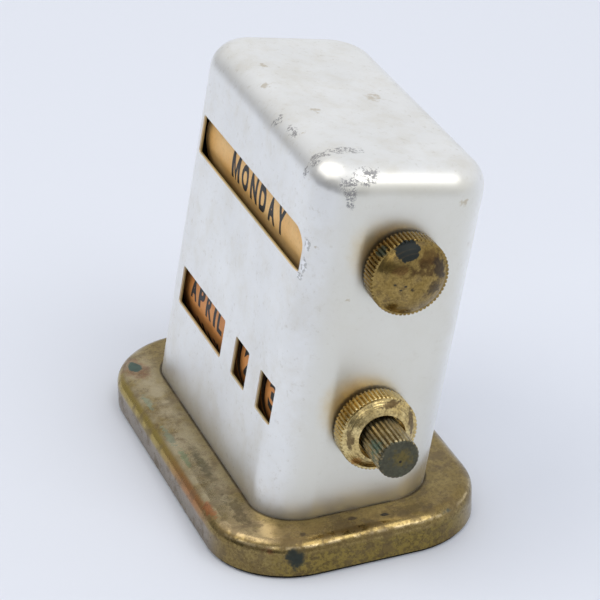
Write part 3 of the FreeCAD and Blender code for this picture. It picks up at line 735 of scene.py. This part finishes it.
@dataclass
class PrintedBand:
    """The words or figures printed round one drum."""

    drum: Drum
    words: Sequence[str]
    letter_height_mm: float
    width_mm: float
    centre_x_mm: float
    shown: int
    shown_angle_deg: float
    widest_mm: float
    ink_mm: float = 0.02
    slice_mm: float = 0.5

    def build(self, ink: bpy.types.Material) -> bpy.types.Object:
        """Print every word on the drum, with the shown one behind its window.

        Args:
            ink: The ink's material.

        Returns:
            One mesh of all the letters.
        """
        pieces = []
        pitch = math.tau / len(self.words)
        for number, word in enumerate(self.words):
            letters = self.word_mesh(word, number)
            angle = math.radians(self.shown_angle_deg) - (number - self.shown) * pitch
            self.wrap(letters, angle)
            pieces.append(letters)
        deselect_all()
        for letters in pieces:
            letters.select_set(True)
        bpy.context.view_layer.objects.active = pieces[0]
        bpy.ops.object.join()
        band = bpy.context.object
        band.name = f"{self.drum.value}_print"
        band.data.materials.clear()
        band.data.materials.append(ink)
        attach(band, f"{self.drum.value}_train")
        return band

    def paper_radius(self) -> float:
        """Outer radius of the drum's paper band, in metres."""
        band = frame["nodes"][f"{self.drum.value}_label"]
        heights = [vertex.co.z for vertex in band.data.vertices]
        return (max(heights) - min(heights)) / 2

    def word_mesh(self, word: str, number: int) -> bpy.types.Object:
        """Draw one word flat, in condensed bold capitals or figures.

        Args:
            word: The text.
            number: Its place in the list.

        Returns:
            A mesh with x along the word, y up the letters and z out of the paper.
        """
        shares = [LETTER_WIDTHS.get(letter, 1.0) for letter in word]
        shown = [LETTER_WIDTHS.get(letter, 1.0) for letter in self.words[self.shown]]
        word_share = sum(shares) + LETTER_GAP * (len(shares) - 1)
        shown_share = sum(shown) + LETTER_GAP * (len(shown) - 1)
        unit = MM * min(self.width_mm / shown_share, self.widest_mm / word_share)
        start = -unit * word_share / 2
        glyphs = []
        for letter, share in zip(word, shares):
            for part, low, high in LETTER_PARTS.get(letter, ((letter, 0.0, 1.0),)):
                glyphs.append(self.glyph_mesh(part, start + unit * share * low,
                                              start + unit * share * high))
            start += unit * (share + LETTER_GAP)
        deselect_all()
        for glyph in glyphs:
            glyph.select_set(True)
        bpy.context.view_layer.objects.active = glyphs[0]
        if len(glyphs) > 1:
            bpy.ops.object.join()
        letters = bpy.context.object
        letters.name = f"{self.drum.value}_word_{number}"
        self.slice_rows(letters)
        return letters

    def glyph_mesh(self, letter: str, left: float, right: float) -> bpy.types.Object:
        """Draw one letter flat between two places along the word.

        Args:
            letter: The letter or figure.
            left: Its left edge, in metres from the word's middle.
            right: Its right edge.

        Returns:
            The letter's mesh.
        """
        deselect_all()
        bpy.ops.object.text_add()
        text = bpy.context.object
        text.data.body = letter
        text.data.offset = 0.02 if letter in "VW" else 0.05
        text.data.extrude = 0.5
        text.data.resolution_u = 4
        bpy.ops.object.convert(target="MESH")
        glyph = bpy.context.object
        corners = [vertex.co.copy() for vertex in glyph.data.vertices]
        low = Vector(min(co[axis] for co in corners) for axis in range(3))
        high = Vector(max(co[axis] for co in corners) for axis in range(3))
        tall = self.letter_height_mm * MM
        for vertex in glyph.data.vertices:
            share = (vertex.co.x - low.x) / (high.x - low.x)
            vertex.co.x = left + (right - left) * share
            vertex.co.y = ((vertex.co.y - low.y) / (high.y - low.y) - 0.5) * tall
            vertex.co.z = self.ink_mm * MM * (0.5 if vertex.co.z > 0 else -1.0)
        return glyph

    def slice_rows(self, letters: bpy.types.Object) -> None:
        """Cut the flat letters into level rows, so that they can bend round a drum."""
        make_active(letters)
        bpy.ops.object.mode_set(mode="EDIT")
        bpy.ops.mesh.select_all(action="SELECT")
        bpy.ops.mesh.remove_doubles(threshold=1e-7)
        rows = int(self.letter_height_mm / self.slice_mm)
        for row in range(1, rows):
            level = (row / rows - 0.5) * self.letter_height_mm * MM
            bpy.ops.mesh.select_all(action="SELECT")
            bpy.ops.mesh.bisect(plane_co=(0, level, 0), plane_no=(0, 1, 0))
        bpy.ops.object.mode_set(mode="OBJECT")

    def wrap(self, letters: bpy.types.Object, angle: float) -> None:
        """Bend flat letters round the drum, turned by an angle up from the front."""
        centre = joint_point(f"{self.drum.value}_turn")
        paper = self.paper_radius()
        turn = leaning()
        for vertex in letters.data.vertices:
            out = paper + vertex.co.z
            up = angle + vertex.co.y / (paper)
            upright = Vector((0.0, -math.cos(up) * out, math.sin(up) * out))
            placed = turn @ upright
            vertex.co = (self.centre_x_mm * MM + vertex.co.x, centre.y + placed.y,
                         centre.z + placed.z)


# ------------------------------------------------------------------ stage
@dataclass
class Studio:
    """Plain pale floor, soft light and the camera."""

    camera_at: tuple = (0.39683, -0.14288, 0.26052)
    view_right: tuple = (0.352368, 0.935722, -0.016145)
    view_up: tuple = (-0.442991, 0.181966, 0.877865)
    view_back: tuple = (0.824376, -0.302180, 0.478636)
    lens_mm: float = 168.2
    floor_colour: str = "DEE2EB"
    bright_side: tuple = (-0.25, 0.80, 0.55)
    sky_levels: tuple = (0.16, 0.86)

    def build(self) -> None:
        """Set up the floor, the lights, the sky and the camera."""
        self.place_camera()
        self.lay_floor()
        self.light()

    def place_camera(self) -> None:
        """Put the camera where it looks down at the front right corner."""
        data = bpy.data.cameras.new("camera")
        data.lens = self.lens_mm
        data.sensor_width = 36.0
        data.clip_start = 0.01
        data.clip_end = 20.0
        camera = bpy.data.objects.new("camera", data)
        axes = Matrix((self.view_right, self.view_up, self.view_back)).transposed().to_4x4()
        camera.matrix_world = Matrix.Translation(self.camera_at) @ axes
        bpy.context.scene.collection.objects.link(camera)
        bpy.context.scene.camera = camera

    def lay_floor(self) -> None:
        """Lay a wide pale floor."""
        deselect_all()
        bpy.ops.mesh.primitive_plane_add(size=6.0, location=(0, 0, 0))
        floor = bpy.context.object
        floor.name = "floor"
        material = bpy.data.materials.new("pale_paper_floor")
        material.use_nodes = True
        shader = material.node_tree.nodes["Principled BSDF"]
        shader.inputs["Base Color"].default_value = linear(self.floor_colour)
        shader.inputs["Roughness"].default_value = 0.9
        floor.data.materials.append(material)

    def area(self, name: str, place: Vector, size: float, power: float, hex_colour: str) -> None:
        """Hang one square soft light, aimed at the object."""
        data = bpy.data.lights.new(name, "AREA")
        data.size = size
        data.energy = power
        data.color = linear(hex_colour)[:3]
        light = bpy.data.objects.new(name, data)
        light.location = place
        light.rotation_euler = (Vector((0, 0, 0.03)) - place).to_track_quat("-Z", "Y").to_euler()
        bpy.context.scene.collection.objects.link(light)

    def light(self) -> None:
        """Soft light from above and the right, over a bright even sky."""
        world = bpy.data.worlds.new("studio_sky")
        bpy.context.scene.world = world
        world.use_nodes = True
        tree = world.node_tree
        sky = tree.nodes["Background"]
        sky.inputs["Color"].default_value = linear("F8FAFF")
        place = add_node(tree, "ShaderNodeTexCoord")
        toward = add_node(tree, "ShaderNodeVectorMath",
                          {0: place.outputs["Generated"], 1: self.bright_side},
                          operation="DOT_PRODUCT")
        span = add_node(tree, "ShaderNodeMapRange",
                        {"Value": toward.outputs["Value"], "From Min": -0.7, "From Max": 0.6,
                         "To Min": self.sky_levels[0], "To Max": self.sky_levels[1]})
        tree.links.new(span.outputs["Result"], sky.inputs["Strength"])
        self.area("key", Vector((0.96, 0.60, 1.64)), 1.1, 9.6, "FFFFFF")
        self.area("front_panel", Vector((-0.30, -0.74, 1.2)), 1.1, 6.0, "FFFBF4")
        self.area("glint_panel", Vector((0.66, -0.39, 0.61)), 0.45, 0.6, "FFFFFF")
        bpy.context.scene.view_settings.view_transform = "Standard"


# ------------------------------------------------------------------ assembly
def dress_housing() -> None:
    """Give the housing its worn edges and its lacquered sheet finish."""
    scuff = ((22.2, 5.0, 63.6), (1.5, 4.6, 1.4)), ((22.0, 1.2, 62.2), (1.5, 1.8, 1.4)), \
            ((21.6, 0.1, 60.0), (0.9, 1.2, 1.4)), ((30.0, 3.9, 60.8), (1.8, 2.0, 2.8)), \
            ((29.0, 7.0, 62.5), (2.0, 2.6, 2.0)), ((30.6, 4.4, 57.8), (1.0, 1.2, 1.0)), \
            ((5.5, 0.6, 62.0), (1.2, 1.6, 1.6)), ((11.0, 0.8, 62.6), (2.4, 1.4, 0.9)), \
            ((31.0, 15.6, 62.9), (0.8, 0.6, 0.6))
    scuffs = tuple(Mark(on_housing(*centre), reach) for centre, reach in scuff)
    ochre = (((31.0, 1.6, 49.6), 0.8), ((31.0, 2.4, 52.0), 0.8), ((31.0, 6.9, 41.8), 0.5),
             ((31.0, 24.2, 58.9), 1.1), ((27.6, 1.2, 49.4), 0.6), ((13.2, 1.9, 63.4), 0.7),
             ((30.4, 3.9, 59.6), 0.7), ((-13.6, 1.2, 63.4), 0.8), ((-13.9, 5.1, 64.0), 1.1), ((-6.0, 2.6, 63.6), 1.2),
             ((5.7, 7.1, 64.0), 1.2), ((-0.3, 20.3, 64.0), 1.6))
    stains_and_painted_reflections = tuple(Mark(on_housing(*centre), (reach, reach, reach * 0.7), "A88F55", 1.6, 0.8, 0.42)
                   for centre, reach in ochre)
    # Golden patches on the side wall round each knob: painted reflection of the brass knob.
    painted_knob_reflections = tuple(Mark(on_housing(31.0, inward, up), (1.5, 6.6, 6.6), "D2B261", 0.15, 0.9, 0.7)
                  for inward, up in ((10.6, 50.6), (10.6, 22.6)))
    stains_and_painted_reflections += painted_knob_reflections
    chips = (Mark(on_housing(26.0, 0.5, 49.0), (0.8, 0.8, 1.2), ragged=0.7),
             Mark(on_housing(25.9, 0.5, 45.6), (0.8, 0.8, 1.5), ragged=0.7),
             Mark(on_housing(25.4, 0.4, 43.4), (0.9, 0.8, 0.8), ragged=0.7))
    finish = SatinAluminium("lacquered_aluminium_sheet", scuffs=scuffs, stains_and_painted_reflections=stains_and_painted_reflections, chips=chips)
    SoftenedPiece("housing", "case", "satin_aluminium", 0.07).build(finish.build())


def dress_base() -> None:
    """Give the base its worn edges and its patched brass."""
    teal, rust = "35564E", "86523A"
    marks = (
        Mark((-27.6, -19.6, 6.7), (4.6, 3.4, 2.0), rust, 0.9, 0.6, 0.45, 0.8),
        Mark((-27.8, -19.4, 6.7), (2.2, 1.3, 1.5), teal, 0.5, 0.25, 0.9, 0.3),
        Mark((-15.0, -21.0, 6.7), (3.2, 0.8, 1.5), "7F8F79", 1.0, 0.6, 0.6, 0.6),
        Mark((-2.5, -21.2, 6.7), (5.0, 0.8, 1.5), "7F8F79", 1.0, 0.6, 0.55, 0.6),
        Mark((5.0, -20.9, 6.7), (4.0, 0.8, 1.5), "6F8A66", 1.0, 0.6, 0.55, 0.6),
        Mark((8.0, -18.8, 6.7), (8.0, 1.3, 1.2), "4A4830", 0.8, 0.8, 0.6, 0.8),
        Mark((24.0, -18.0, 6.7), (7.0, 1.6, 1.2), "564A30", 1.2, 0.6, 0.6, 0.8),
        Mark((34.6, 8.0, 6.7), (1.6, 9.0, 1.2), "5E4E2E", 1.3, 0.6, 0.5, 0.8),
        Mark((21.8, -22.2, 6.5), (3.4, 0.9, 1.5), "B06A3C", 0.9, 0.5, 0.7, 0.9),
        Mark((38.6, -13.0, 4.2), (2.0, 2.4, 3.4), "1F2B27", 0.5, 0.3, 0.95, 0.2),
        Mark((39.0, -11.9, 2.9), (1.2, 0.9, 1.4), "3E7A62", 0.8, 0.4, 0.8, 0.1),
        Mark((39.0, -13.4, 3.0), (1.2, 0.7, 1.8), "3A6E5A", 0.8, 0.4, 0.7, 0.1),
        Mark((36.6, -17.6, 5.4), (2.0, 2.2, 1.0), "7A4A32", 0.9, 0.5, 0.6, 0.8),
        Mark((36.6, 15.4, 6.4), (0.9, 2.0, 1.0), "3C4A44", 0.8, 0.4, 0.8, 0.3),
        Mark((36.0, 18.8, 4.2), (1.6, 0.16, 3.0), "17130C", 0.1, 0.3, 0.95, 0.1),
        Mark((34.5, 4.2, 6.7), (0.5, 0.9, 0.8), "241D14", 0.6, 0.3, 0.9, 0.3),
        Mark((33.6, -1.2, 6.7), (0.6, 1.0, 0.8), "4A3A2A", 0.6, 0.4, 0.8, 0.5),
        Mark((35.0, -10.5, 6.7), (0.6, 0.6, 0.8), "3A2C20", 0.6, 0.4, 0.7, 0.5),
        Mark((35.7, -19.5, 3.8), (0.9, 0.7, 0.7), "1E1812", 0.6, 0.4, 0.85, 0.3),
        Mark((39.2, -0.9, 3.6), (0.8, 0.8, 0.7), "2B2016", 0.6, 0.4, 0.85, 0.3),
    )
    finish = AgedBrassBase("aged_brass_base", colour="A3905F", shade="857143", seed=4.0,
                           green=0.02, marks=marks, roughness=0.2)
    SoftenedPiece("base_tray", "case", "aged_brass", 0.12).build(finish.build())


def dress_knobs() -> None:
    """Give each knob its worn edges and its own tarnish."""
    upper, lower = joint_point("weekday_turn"), joint_point("units_turn")

    def off(axle: Vector, x: float, side: float, up: float) -> tuple[float, float, float]:
        """A point beside an axle, in millimetres."""
        return (x, axle.y / MM + side, axle.z / MM + up)

    black, plum = "1B211E", "46301F"
    dome = (
        Mark(off(upper, 36.0, 1.4, 2.2), (3.0, 3.9, 1.9), plum, 1.7, 0.8, 0.75, 0.9),
        # The brown and near-black marks on the right of the dome are tarnish, laid darker as a painted dark
        # reflection.
        Mark(off(upper, 36.0, 3.0, 3.6), (3.0, 2.6, 1.6), "5C4326", 1.3, 0.5, 0.7, 0.9),
        Mark(off(upper, 36.0, 4.6, 1.2), (3.0, 1.7, 2.3), "2E2018", 1.3, 0.5, 0.85, 0.6),
        Mark(off(upper, 36.0, 3.4, -1.6), (3.0, 1.5, 1.6), "3B2C1A", 1.4, 0.6, 0.75, 0.7),
        Mark(off(upper, 36.0, -2.3, 2.6), (3.0, 1.6, 1.1), "6E4A2C", 0.9, 0.5, 0.6, 0.9),
        Mark(off(upper, 35.6, -0.5, 5.3), (3.0, 2.3, 1.6), black, 0.6, 0.1, 1.0, 0.25),
        Mark(off(upper, 36.0, -1.65, -0.18), (1.5, 0.4, 0.3), black, 0.4, 0.3, 1.0, 0.2),
        Mark(off(upper, 36.0, -0.4, -0.9), (1.5, 0.75, 0.5), "2A2218", 0.6, 0.3, 0.9, 0.3),
        Mark(off(upper, 36.0, -2.4, -0.8), (1.5, 0.35, 0.25), black, 0.4, 0.3, 0.9, 0.2),
        Mark(off(upper, 36.0, -3.3, 0.2), (1.5, 0.3, 0.25), black, 0.4, 0.3, 0.8, 0.2),
        Mark(off(upper, 33.5, -4.6, 5.2), (1.6, 1.3, 1.3), "24352C", 0.7, 0.4, 0.9, 0.2),
    )
    ring = (
        Mark(off(lower, 35.0, 1.8, 5.4), (2.0, 2.6, 0.6), "5E452B", 0.8, 0.4, 0.8, 0.9),
        Mark(off(lower, 35.0, 5.4, 1.5), (2.0, 0.8, 2.6), "4F3C2A", 0.8, 0.4, 0.8, 0.8),
        Mark(off(lower, 35.0, -5.3, 0.3), (2.0, 0.7, 2.4), "56422E", 0.8, 0.4, 0.75, 0.85),
        Mark(off(lower, 35.0, -4.2, -3.9), (2.0, 1.2, 1.2), "A8702E", 0.8, 0.5, 0.7, 1.0),
    )
    pin = (
        Mark(off(lower, 43.4, 0.0, 0.0), (0.7, 4.4, 4.4), "3D4034", 0.5, 0.2, 0.9, 0.45),
        Mark(off(lower, 43.4, 0.5, 0.2), (0.9, 2.3, 2.1), "6F6238", 1.1, 0.7, 0.9, 0.8),
        Mark(off(lower, 43.4, 0.2, -0.45), (0.6, 0.3, 0.3), "1A1A12", 0.3, 0.3, 1.0, 0.2),
        Mark(off(lower, 40.5, -2.8, 0.6), (2.6, 1.4, 2.4), "4F7468", 1.1, 0.6, 0.75, 0.3),
        Mark(off(lower, 37.5, 0.8, 2.8), (3.0, 2.4, 1.3), "9C8F72", 1.0, 0.6, 0.6, 0.7),
    )
    knobs = (
        ("weekday", AgedBrass("aged_brass_weekday_knob", "AE955C", "8B733E", 0.3, seed=11.0,
                              patch_mm=3.0, marks=dome, axle=upper, roughness=0.17)),
        ("month", AgedBrass("aged_brass_month_knob", "A8934E", "8A7436", 0.4, seed=17.0,
                            patch_mm=3.0, axle=lower, roughness=0.2)),
        ("units", AgedBrass("aged_brass_units_knob", "F0DA9E", "CDB274", 0.16, seed=23.0,
                            patch_mm=2.5, marks=ring, axle=lower, roughness=0.19,
                            turning_depth=2.2, turning_stain=0.45)),
        ("tens", AgedBrass("aged_brass_tens_knob", "C2B48E", "9A8C68", 0.36, seed=29.0,
                           patch_mm=2.0, green=0.16, marks=pin, roughness=0.3)),
    )
    for train, finish in knobs:
        piece = SoftenedPiece(f"{train}_knob", f"{train}_train", "aged_brass", 0.045)
        piece.build(finish.build())


def dress_inside() -> None:
    """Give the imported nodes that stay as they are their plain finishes."""
    steel = PlainStock("plated_steel", "9A9A96", "7A7A78", 1.0, 0.38, 0.3).build()
    # The drum discs' steel is painted dark as shade, keeping the gaps behind the windows dark.
    disc_steel_painted_dark = PlainStock("steel_disc_painted_in_shade", "5A5750", "403D38", 0.8, 0.55, 0.3).build()
    brass = PlainStock("turned_brass", "B79A58", "94793E", 1.0, 0.3, 0.3).build()
    bronze = PlainStock("spring_bronze", "9B7342", "7A5833", 1.0, 0.35, 0.3).build()
    card = PlainStock("rolled_card", "7C6142", "5D4630", 0.0, 0.85, 0.4).build()
    grey = PlainStock("grey_card", "6B6255", "4E473E", 0.0, 0.85, 0.4).build()
    felt = PlainStock("black_felt", "1A1A1A", "0C0C0C", 0.0, 0.95, 0.25).build()
    paper = YellowedPaper("yellowed_paper").build()
    # The lower drums' paper is a darker, more orange copy of the same paper: painted shade and warm bounce light
    # inside the housing.
    lower_paper_painted_shade = YellowedPaper("paper_with_painted_warm_shade", "EFA45E", "C97F3C").build()
    paint("base_felt", felt)
    paint("base_card", grey)
    for node in ("drum_frame", "frame_screws", "weekday_shaft", "tens_shaft"):
        paint(node, steel)
    for node in ("upper_left_bush", "upper_right_bush", "lower_left_bush", "lower_right_bush",
                 "weekday_collar", "units_sleeve", "month_shaft"):
        paint(node, brass)
    for node in ("weekday_spring_washer", "month_spring_washer", "units_spring_washer"):
        paint(node, bronze)
    for drum in Drum:
        paint(f"{drum.value}_drum", card)
        paint(f"{drum.value}_label", paper if drum is Drum.WEEKDAY else lower_paper_painted_shade)
        paint(f"{drum.value}_left_disc", disc_steel_painted_dark)
        paint(f"{drum.value}_right_disc", disc_steel_painted_dark)


def print_bands() -> None:
    """Print the weekday, month and date figures on their drums."""
    ink = PrintInk("letterpress_ink").build()
    weekdays = ("SUNDAY", "MONDAY", "TUESDAY", "WEDNESDAY", "THURSDAY", "FRIDAY", "SATURDAY")
    months = ("JANUARY", "FEBRUARY", "MARCH", "APRIL", "MAY", "JUNE", "JULY", "AUGUST",
              "SEPTEMBER", "OCTOBER", "NOVEMBER", "DECEMBER")
    bands = (
        PrintedBand(Drum.WEEKDAY, weekdays, 4.8, 25.4, 0.9, 1, -2.5, 43.0),
        PrintedBand(Drum.MONTH, months, 4.2, 16.4, -12.4, 3, 0.5, 16.6),
        PrintedBand(Drum.TENS, ("0", "1", "2", "3", "0", "1", "2", "3"), 5.8, 4.4, 9.2, 2, -1.0, 4.4),
        PrintedBand(Drum.UNITS, tuple("0123456789"), 5.8, 4.4, 21.3, 3, -1.0, 4.4),
    )
    for band in bands:
        piece = band.build(ink)
        LOG.info("%s: %d faces", piece.name, len(piece.data.polygons))


def main() -> None:
    """Build the calendar's looks in order."""
    logging.basicConfig(level=logging.INFO, format="%(name)s: %(message)s")
    Studio().build()
    dress_housing()
    dress_base()
    dress_knobs()
    dress_inside()
    print_bands()


if __name__ == "__main__":
    main()
